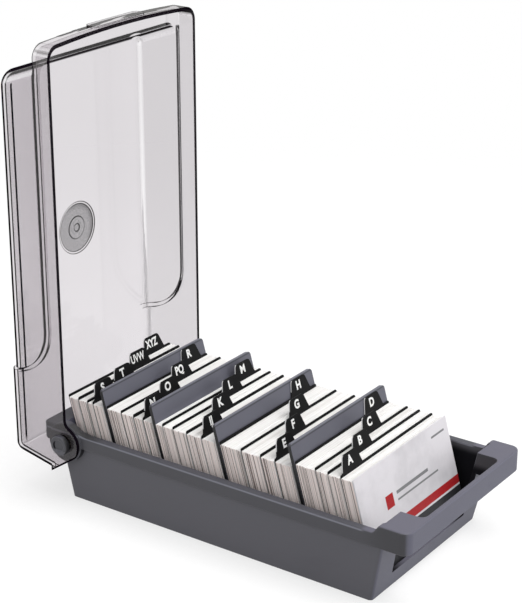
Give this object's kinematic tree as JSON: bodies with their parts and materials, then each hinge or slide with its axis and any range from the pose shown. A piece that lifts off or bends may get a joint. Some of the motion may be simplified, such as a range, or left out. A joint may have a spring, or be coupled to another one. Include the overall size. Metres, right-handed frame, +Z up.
{
  "type": "card file case",
  "caption": "Desk card file: a grey tray with a pull handle, a hinged smoky clear lid, leaning divider boards, tabbed index cards and packs of cards.",
  "frame": {"origin": "centre of the tray's flat underside", "axes": "+Z up, -Y towards the pull handle, +X to the right when looking from the handle to the hinge"},
  "size_m": [0.127, 0.2491, 0.2537],
  "materials": {
    "grey_plastic": "satin moulded grey plastic with a fine grain",
    "divider_plastic": "satin grey plastic board",
    "smoky_clear": "smooth smoky clear plastic",
    "black_card": "matt black card with white letters",
    "white_card": "cut edges of stacked white cards",
    "printed_card": "smooth printed card"
  },
  "bodies": {
    "tray": {"card_pack_e": "white_card", "card_pack_f": "white_card", "card_pack_g": "white_card", "card_pack_h": "white_card", "card_pack_ij": "white_card", "card_pack_k": "white_card", "card_pack_l": "white_card", "card_pack_m": "white_card", "card_pack_n": "white_card", "card_pack_o": "white_card", "card_pack_pq": "white_card", "card_pack_r": "white_card", "card_pack_s": "white_card", "card_pack_spare": "white_card", "card_pack_t": "white_card", "card_pack_uvw": "white_card", "card_pack_xyz": "white_card", "divider_2": "divider_plastic", "divider_3": "divider_plastic", "divider_4": "divider_plastic", "hinge_pin_left": "grey_plastic", "hinge_pin_right": "grey_plastic", "index_card_e": "black_card", "index_card_f": "black_card", "index_card_g": "black_card", "index_card_h": "black_card", "index_card_ij": "black_card", "index_card_k": "black_card", "index_card_l": "black_card", "index_card_m": "black_card", "index_card_n": "black_card", "index_card_o": "black_card", "index_card_pq": "black_card", "index_card_r": "black_card", "index_card_s": "black_card", "index_card_t": "black_card", "index_card_uvw": "black_card", "index_card_xyz": "black_card", "tray": "grey_plastic"},
    "lid": {"lid": "smoky_clear"},
    "front_cards": {"front_card": "printed_card", "card_pack_a": "white_card"},
    "leaf_a": {"index_card_a": "black_card", "card_pack_b": "white_card"},
    "leaf_b": {"index_card_b": "black_card", "card_pack_c": "white_card"},
    "leaf_c": {"index_card_c": "black_card", "card_pack_d": "white_card"},
    "leaf_d": {"index_card_d": "black_card", "divider_1": "divider_plastic"}
  },
  "joints": [
    {"name": "lid_hinge", "type": "hinge", "parent": "tray", "child": "lid", "pos_m": [0, 0.0942, 0.0349], "axis": [1, 0, 0], "range_deg": [0, 89]},
    {"name": "front_cards_tip", "type": "hinge", "parent": "tray", "child": "front_cards", "pos_m": [0, -0.09421, 0.0062], "axis": [1, 0, 0], "range_deg": [0, 26]},
    {"name": "leaf_a_tip", "type": "hinge", "parent": "tray", "child": "leaf_a", "pos_m": [0, -0.08686, 0.0062], "axis": [1, 0, 0], "range_deg": [0, 26]},
    {"name": "leaf_b_tip", "type": "hinge", "parent": "tray", "child": "leaf_b", "pos_m": [0, -0.07942, 0.0062], "axis": [1, 0, 0], "range_deg": [0, 26]},
    {"name": "leaf_c_tip", "type": "hinge", "parent": "tray", "child": "leaf_c", "pos_m": [0, -0.07197, 0.0062], "axis": [1, 0, 0], "range_deg": [0, 26]},
    {"name": "leaf_d_tip", "type": "hinge", "parent": "tray", "child": "leaf_d", "pos_m": [0, -0.06025, 0.0062], "axis": [1, 0, 0], "range_deg": [0, 26]}
  ],
  "couplings": [
    {"joint": "leaf_a_tip", "follows": "front_cards_tip", "ratio": 1},
    {"joint": "leaf_b_tip", "follows": "front_cards_tip", "ratio": 1},
    {"joint": "leaf_c_tip", "follows": "front_cards_tip", "ratio": 1},
    {"joint": "leaf_d_tip", "follows": "front_cards_tip", "ratio": 1}
  ]
}
